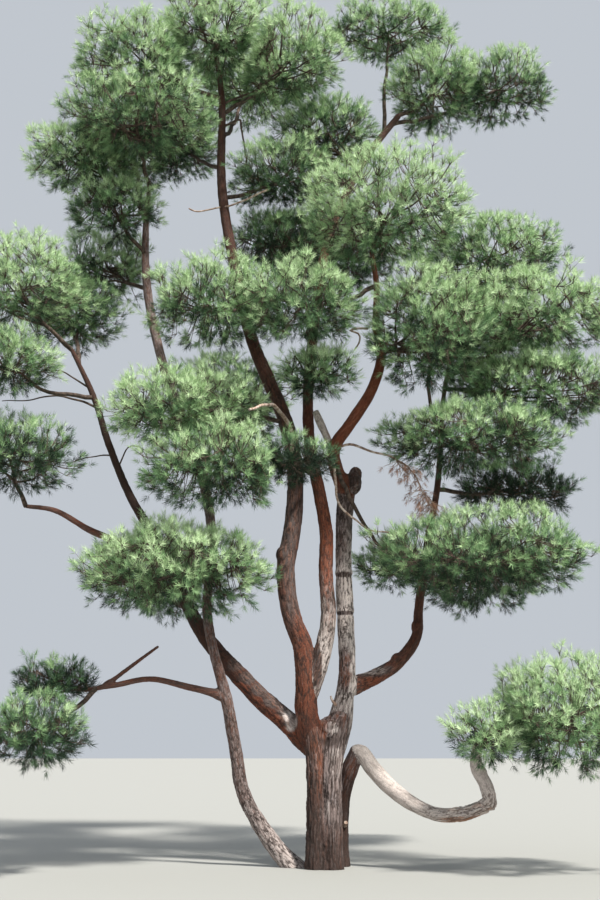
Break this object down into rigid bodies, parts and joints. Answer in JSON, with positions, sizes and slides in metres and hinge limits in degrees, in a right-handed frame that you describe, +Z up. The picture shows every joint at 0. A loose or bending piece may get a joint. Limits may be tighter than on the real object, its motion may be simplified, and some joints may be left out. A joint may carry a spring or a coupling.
{
  "type": "pine tree",
  "caption": "Tall red-barked pine: a short trunk forks into curving stems, with flat cloud-like needle masses and a low sinuous side limb.",
  "frame": {"origin": "centre of the flat cut under the trunk, at ground level", "axes": "+Z up along the trunk, -Y towards the side the picture was taken from, +X to the right seen from there"},
  "size_m": [9.3485, 5.6115, 12.8068],
  "materials": {
    "bark_grey": "fissured grey-brown bark",
    "bark_red": "flaky orange-red bark",
    "bark_pale": "pale worn bark",
    "needles": "matt green needles",
    "dead_needles": "dry brown needles"
  },
  "bodies": {
    "root": {"trunk": "bark_grey", "left_fork_stem": "bark_red", "right_fork_stem": "bark_grey", "middle_red_stem": "bark_red", "orange_bough": "bark_red", "leaning_left_stem": "bark_grey", "left_bough": "bark_red", "right_bough": "bark_red", "low_stem": "bark_grey", "low_limb": "bark_pale", "low_limb_end": "bark_pale", "left_side_branch": "bark_red", "left_far_branch": "bark_red", "broken_stub": "bark_pale", "dead_spray": "dead_needles", "crown_top": "needles", "crown_top_left": "needles", "crown_top_right": "needles", "crown_top_back": "needles", "upper_left_front": "needles", "upper_left_tip": "needles", "upper_left_inner": "needles", "upper_left_back": "needles", "upper_left_low": "needles", "upper_left_fringe": "needles", "left_edge_high": "needles", "left_bough_top": "needles", "left_edge_middle": "needles", "left_edge_low": "needles", "middle_left_high": "needles", "middle_left": "needles", "middle_left_low": "needles", "middle_front": "needles", "middle_left_back": "needles", "low_left": "needles", "low_left_back": "needles", "side_branch_tip": "needles", "low_far_left": "needles", "upper_right_inner": "needles", "upper_middle": "needles", "upper_right_top": "needles", "upper_right": "needles", "upper_right_far": "needles", "inner_dark": "needles", "upper_back": "needles", "bright_front_top": "needles", "bright_front_low": "needles", "centre_front": "needles", "right_high": "needles", "right_middle": "needles", "right_inner": "needles", "right_middle_back": "needles", "right_edge": "needles", "right_layer": "needles", "right_shaded": "needles", "right_low": "needles", "right_low_inner": "needles", "right_low_back": "needles", "low_right": "needles", "low_right_small": "needles"}
  },
  "joints": []
}
